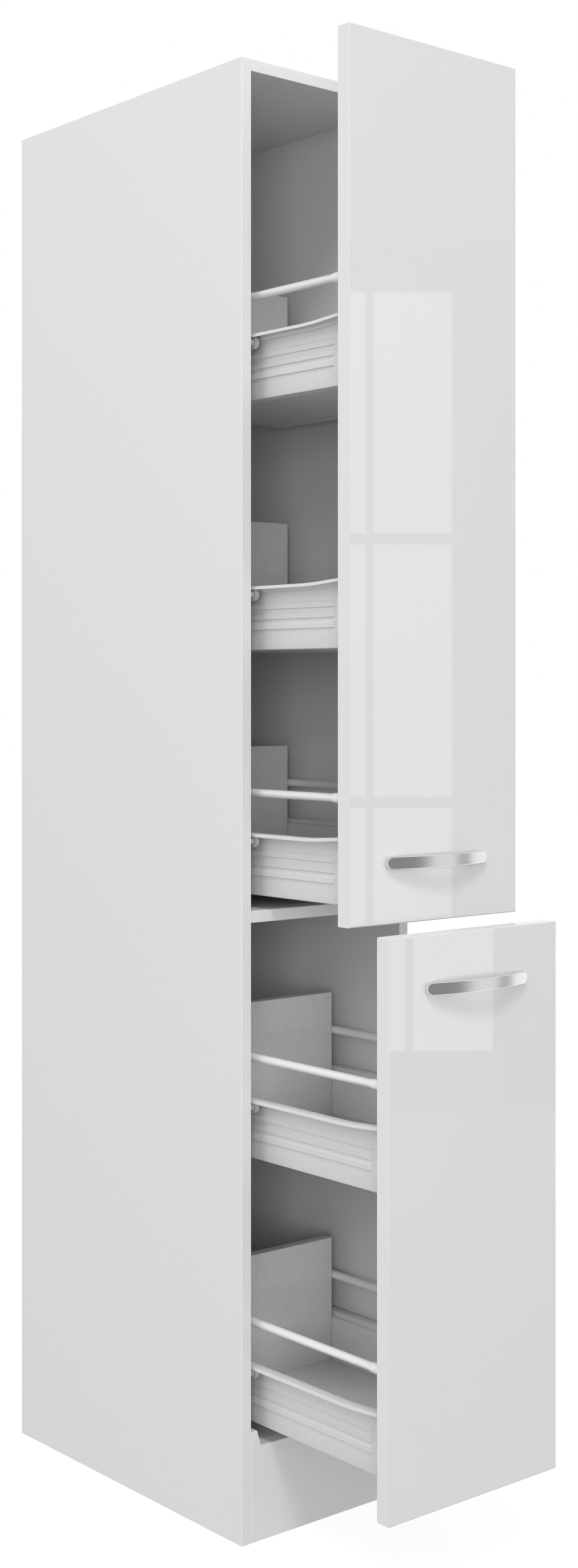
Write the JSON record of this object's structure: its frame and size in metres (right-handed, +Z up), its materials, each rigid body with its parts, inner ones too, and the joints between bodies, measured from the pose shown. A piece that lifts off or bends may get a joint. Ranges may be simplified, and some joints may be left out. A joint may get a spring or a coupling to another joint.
{
  "type": "pull out larder unit",
  "caption": "Tall narrow kitchen larder cabinet whose handled gloss fronts draw out steel-sided trays with gallery rails on roller runners.",
  "frame": {"origin": "middle of the footprint on the floor, the footprint running from the foremost handle to the rear edges of the sides", "axes": "+Z up, +X to the right as seen from the room, +Y from the fronts toward the wall, so the pull-outs open along -Y"},
  "size_m": [0.3, 0.8738, 2],
  "materials": {
    "carcass_board": "light grey melamine, satin, with matching edge bands",
    "front_lacquer": "high-gloss white-grey lacquer on board",
    "tray_board": "mid grey melamine, satin",
    "coated_steel": "powder-coated folded sheet, light grey, satin",
    "gallery_rod": "white coated rod, satin",
    "satin_steel": "satin steel, brushed along its length",
    "runner_steel": "light grey coated runner steel",
    "nylon": "moulded nylon, matt"
  },
  "bodies": {
    "carcass": {"side_panel_left": "carcass_board", "side_panel_right": "carcass_board", "top_panel": "carcass_board", "fixed_shelf": "carcass_board", "bottom_panel": "carcass_board", "back_panel": "carcass_board", "plinth_panel": "carcass_board", "runner_rail_upper_1_left": "runner_steel", "runner_rail_upper_1_right": "runner_steel", "runner_rail_upper_2_left": "runner_steel", "runner_rail_upper_2_right": "runner_steel", "runner_rail_upper_3_left": "runner_steel", "runner_rail_upper_3_right": "runner_steel", "runner_rail_lower_1_left": "runner_steel", "runner_rail_lower_1_right": "runner_steel", "runner_rail_lower_2_left": "runner_steel", "runner_rail_lower_2_right": "runner_steel"},
    "upper_pullout": {"front_upper": "front_lacquer", "handle_upper": "satin_steel", "tray_side_upper_1_left": "coated_steel", "tray_side_upper_1_right": "coated_steel", "tray_base_upper_1": "tray_board", "tray_back_upper_1": "tray_board", "tray_side_upper_2_left": "coated_steel", "tray_side_upper_2_right": "coated_steel", "tray_base_upper_2": "tray_board", "tray_back_upper_2": "tray_board", "tray_side_upper_3_left": "coated_steel", "tray_side_upper_3_right": "coated_steel", "tray_base_upper_3": "tray_board", "tray_back_upper_3": "tray_board", "gallery_rail_upper_1_left": "gallery_rod", "gallery_rail_upper_1_right": "gallery_rod", "gallery_rail_upper_3_left": "gallery_rod", "gallery_rail_upper_3_right": "gallery_rod"},
    "lower_pullout": {"front_lower": "front_lacquer", "handle_lower": "satin_steel", "tray_side_lower_1_left": "coated_steel", "tray_side_lower_1_right": "coated_steel", "tray_base_lower_1": "tray_board", "tray_back_lower_1": "tray_board", "tray_side_lower_2_left": "coated_steel", "tray_side_lower_2_right": "coated_steel", "tray_base_lower_2": "tray_board", "tray_back_lower_2": "tray_board", "gallery_rail_lower_1_left": "gallery_rod", "gallery_rail_lower_1_right": "gallery_rod", "gallery_rail_lower_2_left": "gallery_rod", "gallery_rail_lower_2_right": "gallery_rod"},
    "roller_upper_1_left": {"roller_upper_1_left": "nylon"},
    "roller_upper_1_right": {"roller_upper_1_right": "nylon"},
    "roller_upper_2_left": {"roller_upper_2_left": "nylon"},
    "roller_upper_2_right": {"roller_upper_2_right": "nylon"},
    "roller_upper_3_left": {"roller_upper_3_left": "nylon"},
    "roller_upper_3_right": {"roller_upper_3_right": "nylon"},
    "roller_lower_1_left": {"roller_lower_1_left": "nylon"},
    "roller_lower_1_right": {"roller_lower_1_right": "nylon"},
    "roller_lower_2_left": {"roller_lower_2_left": "nylon"},
    "roller_lower_2_right": {"roller_lower_2_right": "nylon"}
  },
  "joints": [
    {"name": "upper_slide", "type": "slide", "parent": "carcass", "child": "upper_pullout", "axis": [0, -1, 0], "range_m": [-0.1956, 0.19]},
    {"name": "lower_slide", "type": "slide", "parent": "carcass", "child": "lower_pullout", "axis": [0, -1, 0], "range_m": [-0.2709, 0.09]},
    {"name": "roller_upper_1_left_turn", "type": "hinge", "parent": "carcass", "child": "roller_upper_1_left", "pos_m": [-0.12, -0.10905, 1.6205], "axis": [1, 0, 0], "continuous": true},
    {"name": "roller_upper_1_right_turn", "type": "hinge", "parent": "carcass", "child": "roller_upper_1_right", "pos_m": [0.12, -0.10905, 1.6205], "axis": [1, 0, 0], "continuous": true},
    {"name": "roller_upper_2_left_turn", "type": "hinge", "parent": "carcass", "child": "roller_upper_2_left", "pos_m": [-0.12, -0.10905, 1.2795], "axis": [1, 0, 0], "continuous": true},
    {"name": "roller_upper_2_right_turn", "type": "hinge", "parent": "carcass", "child": "roller_upper_2_right", "pos_m": [0.12, -0.10905, 1.2795], "axis": [1, 0, 0], "continuous": true},
    {"name": "roller_upper_3_left_turn", "type": "hinge", "parent": "carcass", "child": "roller_upper_3_left", "pos_m": [-0.12, -0.10905, 0.9455], "axis": [1, 0, 0], "continuous": true},
    {"name": "roller_upper_3_right_turn", "type": "hinge", "parent": "carcass", "child": "roller_upper_3_right", "pos_m": [0.12, -0.10905, 0.9455], "axis": [1, 0, 0], "continuous": true},
    {"name": "roller_lower_1_left_turn", "type": "hinge", "parent": "carcass", "child": "roller_lower_1_left", "pos_m": [-0.12, -0.10905, 0.5855], "axis": [1, 0, 0], "continuous": true},
    {"name": "roller_lower_1_right_turn", "type": "hinge", "parent": "carcass", "child": "roller_lower_1_right", "pos_m": [0.12, -0.10905, 0.5855], "axis": [1, 0, 0], "continuous": true},
    {"name": "roller_lower_2_left_turn", "type": "hinge", "parent": "carcass", "child": "roller_lower_2_left", "pos_m": [-0.12, -0.10905, 0.2255], "axis": [1, 0, 0], "continuous": true},
    {"name": "roller_lower_2_right_turn", "type": "hinge", "parent": "carcass", "child": "roller_lower_2_right", "pos_m": [0.12, -0.10905, 0.2255], "axis": [1, 0, 0], "continuous": true}
  ],
  "couplings": [
    {"joint": "roller_upper_1_left_turn", "follows": "upper_slide", "rad_per_m": 111.11},
    {"joint": "roller_upper_1_right_turn", "follows": "upper_slide", "rad_per_m": 111.11},
    {"joint": "roller_upper_2_left_turn", "follows": "upper_slide", "rad_per_m": 111.11},
    {"joint": "roller_upper_2_right_turn", "follows": "upper_slide", "rad_per_m": 111.11},
    {"joint": "roller_upper_3_left_turn", "follows": "upper_slide", "rad_per_m": 111.11},
    {"joint": "roller_upper_3_right_turn", "follows": "upper_slide", "rad_per_m": 111.11},
    {"joint": "roller_lower_1_left_turn", "follows": "lower_slide", "rad_per_m": 111.11},
    {"joint": "roller_lower_1_right_turn", "follows": "lower_slide", "rad_per_m": 111.11},
    {"joint": "roller_lower_2_left_turn", "follows": "lower_slide", "rad_per_m": 111.11},
    {"joint": "roller_lower_2_right_turn", "follows": "lower_slide", "rad_per_m": 111.11}
  ]
}
